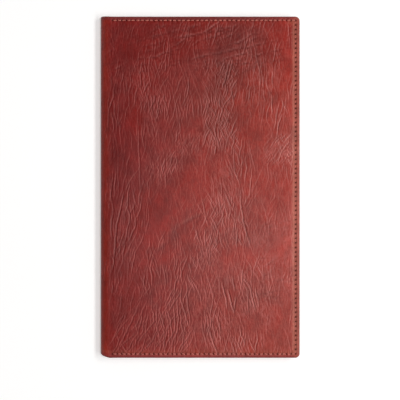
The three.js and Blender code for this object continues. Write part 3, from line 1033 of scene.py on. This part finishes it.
def seam_stitches(side, holes, outward):
    """Stitches between pairs of holes, outside or inside a cover."""
    up = np.array([0.0, 0.0, 1.0 if (side == "front") == outward else -1.0])
    stitches = []
    for pair in holes:
        near_x = min(x for x, _ in pair)
        upright = pair[0][0] == pair[1][0]
        ends = []
        for x, y in pair:
            if outward:
                depth = SEAM_DEPTHS[side] + (FORE_SINK if upright else 0.0)
            else:
                depth = inside_level(side, near_x, y) - INNER_SINK
            ends.append(to_frame(np.array([x, y, depth]), side))
        stitches.append((*ends, up))
    return stitches


for seam, thread, style in (("edge", "needle", OUTER_STITCH), ("inner", "bobbin", INNER_STITCH)):
    for cover in ("front", "back"):
        stitches = seam_stitches(cover, edge_holes(), seam == "edge")
        sew(f"{cover}_{seam}_stitches", stitches, cover, [f"{cover}_{thread}_thread"], **style)
for cover, mouth in (("back", CHECK_MOUTH), ("front", RECEIPT_MOUTH)):
    stitches = seam_stitches(cover, pocket_holes(mouth - SEAM_TO_MOUTH), False)
    sew(cover + "_pocket_stitches", stitches, cover, [cover + "_pocket_thread"], **INNER_STITCH)


# Linings and pockets: thin leather with rounded edges
ROUND_SHARES = np.array([0.0, 0.08, 0.30, 0.62, 1.0])
TOOLED_LINE = 3.2
TOOLED_DEPTH = 0.22
HEM_WIDTH = 6.2


def slab_lines(low, high, spacing, edge):
    """Grid lines across a slab, close together at its two edges."""
    inner = np.linspace(low + edge, high - edge, max(3, int((high - low) / spacing)))
    near = low + edge * ROUND_SHARES[:-1]
    return np.concatenate([near, inner, high + low - near[::-1]])


def slab(low, high, radius, spacing, relief=None):
    """Points and faces of a thin panel with rounded edges and corners."""
    edge = (high[2] - low[2]) / 2
    xs = slab_lines(low[0], high[0], spacing, edge)
    ys = slab_lines(low[1], high[1], spacing, edge)
    gx, gy = np.meshgrid(xs, ys, indexing="ij")
    inset = np.minimum(np.minimum(gx - low[0], high[0] - gx), np.minimum(gy - low[1], high[1] - gy))
    lift = np.zeros(gx.shape) if relief is None else relief(gx, gy) * smooth(0.0, 1.5, inset)
    top = np.stack([gx, gy, high[2] - bullnose(inset, edge) + lift], axis=-1).reshape(-1, 3)
    number = ring_numbers(0, *gx.shape)
    faces = row_faces(number[1:], number[:-1])
    rim = np.concatenate([number[:-1, 0], number[-1, :-1], number[:0:-1, -1], number[0, :0:-1]])
    points = [top]
    middle = (np.array(low) + np.array(high))[:2] / 2
    half = (np.array(high) - np.array(low))[:2] / 2
    for line in edge * ROUND_SHARES[1:]:
        ring = top[rim]
        limit = half - line
        ring[:, :2] = middle + np.clip(ring[:, :2] - middle, -limit, limit)
        ring[:, 2] = low[2] + bullnose(line, edge)
        points.append(ring)
    rings = ring_numbers(gx.size, len(points) - 1, len(rim))
    faces += row_faces([rim, *rings[:-1]], rings, closed=True)
    faces.append(tuple(rings[-1].tolist()))
    points = np.concatenate(points)
    off = points[:, :2] - middle
    a, b = (np.abs(off) - (half - radius)).T
    corner = (a > 0) & (b > 0)
    moved = middle + np.sign(off) * (half - radius + np.stack(round_off(a, b), axis=-1))
    points[:, :2] = np.where(corner[:, None], moved, points[:, :2])
    return points, faces


def join_parts(parts):
    """Joins several point and face lists into one."""
    points = np.zeros((0, 3))
    faces = []
    for part_points, part_faces in parts:
        faces += [tuple(index + len(points) for index in face) for face in part_faces]
        points = np.concatenate([points, part_points])
    return points, faces


def depth_box(node, side):
    """A node's corners, with depths below its cover's outer face."""
    low, high = box_mm(node)
    if side == "front":
        low[2], high[2] = THICKNESS - high[2], THICKNESS - low[2]
    return low, high


def inside_panel(name, side, parts, material, nodes, mouth=None):
    """Adds inside leather made of slabs, riding on its cover."""
    points, faces = join_parts(parts)
    floats = {}
    if mouth is not None:
        below = mouth - points[:, 1]
        burnished = 1.0 - smooth(0.15, 0.75, below)
        floats["tooled"] = np.maximum(burnished, hump(below - TOOLED_LINE, 0.6))
    obj = add_mesh(name, to_frame(points, side), faces, material, floats, flip=side == "back")
    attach(obj, side)
    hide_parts(*nodes)


def uneven(x, y, seed, height, sink):
    """Soft unevenness of glued or sewn thin leather."""
    return height * (noise(x / 17.0, y / 21.0, seed) - sink)


for cover, seed in (("back", 61), ("front", 67)):
    low, high = depth_box(cover + "_lining", cover)
    low[0] = ROLL_X + 0.1
    face = slab(low, high, 1.8, 1.6, lambda x, y: uneven(x, y, seed, 0.05, 0.4))
    edge_low = np.array([ROLL_X - 0.05, low[1] + 0.3, HIDE + 0.15])
    edge_high = np.array([ROLL_X + 0.45, high[1] - 0.3, high[2] - 0.15])
    inside_panel(cover + "_lining_leather", cover, [face, slab(edge_low, edge_high, 0.1, 2.4)],
                 LINING_LEATHER, [cover + "_lining"])

for pocket, cover, seed in (("check", "back", 71), ("card", "back", 73), ("receipt", "front", 79)):
    low, high = depth_box(pocket + "_pocket_panel", cover)
    hem_low, hem_high = depth_box(pocket + "_pocket_hem", cover)
    face = slab(low, high, 2.0, 1.1, lambda x, y: uneven(x, y, seed, 0.08, 0.6)
                - TOOLED_DEPTH * hump(high[1] - y - TOOLED_LINE, 0.5))
    sides = [
        ([low[0], low[1]], [low[0] + HEM_WIDTH, high[1]]),
        ([high[0] - HEM_WIDTH, low[1]], [high[0], high[1]]),
        ([low[0], low[1]], [high[0], low[1] + HEM_WIDTH]),
    ]
    hems = [slab([*a, hem_low[2]], [*b, hem_high[2]], 0.3, 2.4) for a, b in sides]
    inside_panel(pocket + "_pocket_leather", cover, [face], POCKET_LEATHER,
                 [pocket + "_pocket_panel"], high[1])
    inside_panel(pocket + "_pocket_fold", cover, hems, POCKET_LEATHER,
                 [pocket + "_pocket_hem"])


# Spine lining in two halves, curved round the roll like the hide
SPINE_LINING_DEPTHS = (2.04, 2.62)
SPINE_LINING_LAP = 0.3
SPINE_LINING_INSET = 1.6


def spine_lining(name, side):
    """Half of the strip that lines the inside of the roll."""
    along = np.linspace(-HALF_ROLL, SPINE_LINING_LAP, 22)
    up = np.linspace(-HALF_HEIGHT + SPINE_LINING_INSET, HALF_HEIGHT - SPINE_LINING_INSET, 90)
    ga, gu = np.meshgrid(along, up, indexing="ij")
    points = np.concatenate([cover_place(ga, gu, depth).reshape(-1, 3) for depth in SPINE_LINING_DEPTHS])
    outer = ring_numbers(0, *ga.shape)
    inner = outer + ga.size
    faces = row_faces(outer[1:], outer[:-1]) + row_faces(inner[:-1], inner[1:])
    faces += strip(outer[:, 0], inner[:, 0])
    faces += strip(inner[:, -1], outer[:, -1])
    faces += strip(inner[0], outer[0])
    faces += strip(outer[-1], inner[-1])
    obj = add_mesh(name, to_frame(points, side), faces, LINING_LEATHER, flip=side == "front")
    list(fold_span(side))
    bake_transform(obj)
    return obj


spine_lining_front = spine_lining("spine_lining_front", "front")
spine_lining("spine_lining_back", "back")
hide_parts("spine_lining")


# Frame nodes that stay: boards and filler cards
for node_name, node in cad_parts.items():
    for ending, material in (("_board", GREY_BOARD), ("_filler_card", FILLER_CARD)):
        if node_name.endswith(ending):
            node.data.materials.clear()
            node.data.materials.append(material)


# Floor, light and camera: places and sizes in metres, the sensor in millimetres
FLOOR_HALF_SIZE = 30.0
FLOOR_GAP = 0.0001
FLOOR_GLOW = 0.30
WORLD_FILL = 0.14
SOFT_TINT = (1.0, 0.98, 0.96)
WARM_TINT = (1.0, 0.97, 0.94)
IMAGE_SPAN = 0.26755
SENSOR_WIDTH = 36.0
CAMERA_HEIGHT = 1.2
CAMERA_LEFT = 0.00007
CAMERA_DOWN = 0.00856


def add_floor():
    """A pale floor that shows white and keeps the object's shadow."""
    n = Nodes("floor")
    n.surface("Base Color", n.mix(n.noise(n.object_mm(), 0.01, 2.0, 0.5), *FLOOR_TONES))
    n.surface("Roughness", 1.0)
    n.surface("Specular IOR Level", 0.0)
    seen = n.add("LightPath", "Is Camera Ray", {})
    for ray in ("Is Glossy Ray", "Is Transmission Ray"):
        seen = n.math("MAXIMUM", seen, n.add("LightPath", ray, {}))
    n.surface("Emission Color", FLOOR_GLOW_TONE)
    n.surface("Emission Strength", n.product(seen, FLOOR_GLOW))
    side = FLOOR_HALF_SIZE / MM
    corners = [(-side, -side, 0.0), (side, -side, 0.0), (side, side, 0.0), (-side, side, 0.0)]
    floor = add_mesh("floor", corners, [(0, 1, 2, 3)], n.material)
    floor.location.z = -FLOOR_GAP


def add_lamp(name, place, target, size, power, tint, gloss):
    """A soft lamp aimed at a point, for gloss alone or for all but gloss."""
    data = bpy.data.lights.new(name, "AREA")
    data.shape = "RECTANGLE"
    data.size, data.size_y = size
    data.energy = power
    data.color = tint
    lamp = bpy.data.objects.new(name, data)
    lamp.location = place
    lamp.rotation_mode = "QUATERNION"
    lamp.rotation_quaternion = (Vector(target) - Vector(place)).to_track_quat("-Z", "Y")
    lamp.visible_glossy = gloss
    lamp.visible_diffuse = not gloss
    bpy.context.scene.collection.objects.link(lamp)


add_floor()
world = bpy.data.worlds.new("studio")
world.use_nodes = True
background = world.node_tree.nodes["Background"].inputs
background["Color"].default_value = (1.0, 1.0, 1.0, 1.0)
background["Strength"].default_value = WORLD_FILL
bpy.context.scene.world = world
add_lamp("soft", (0.36, 0.0, 3.0), (0.12, 0.0, 0.0), (0.60, 0.50), 36.0, SOFT_TINT, False)
add_lamp("key", (0.75, 0.0, 1.45), (0.0, 0.0, 0.0), (1.00, 0.30), 11.0, WARM_TINT, False)
add_lamp("glint", (0.27, 0.0, 0.28), (0.0, 0.0, 0.0), (0.16, 0.80), 0.60, WARM_TINT, True)
add_lamp("sheen", (0.115, -0.055, 0.30), (0.05, -0.055, 0.0), (0.05, 0.42), 0.22, WARM_TINT, True)

# Camera straight above the closed folder, with the photograph's frame
view = bpy.data.cameras.new("camera")
view.sensor_width = SENSOR_WIDTH
view.lens = SENSOR_WIDTH * CAMERA_HEIGHT / IMAGE_SPAN
view.clip_start = 0.05
view.clip_end = 20.0
camera = bpy.data.objects.new("camera", view)
camera.location = (-CAMERA_LEFT, -CAMERA_DOWN, CAMERA_HEIGHT + THICKNESS * MM)
bpy.context.scene.collection.objects.link(camera)
bpy.context.scene.camera = camera
bpy.context.scene.view_settings.view_transform = "Standard"
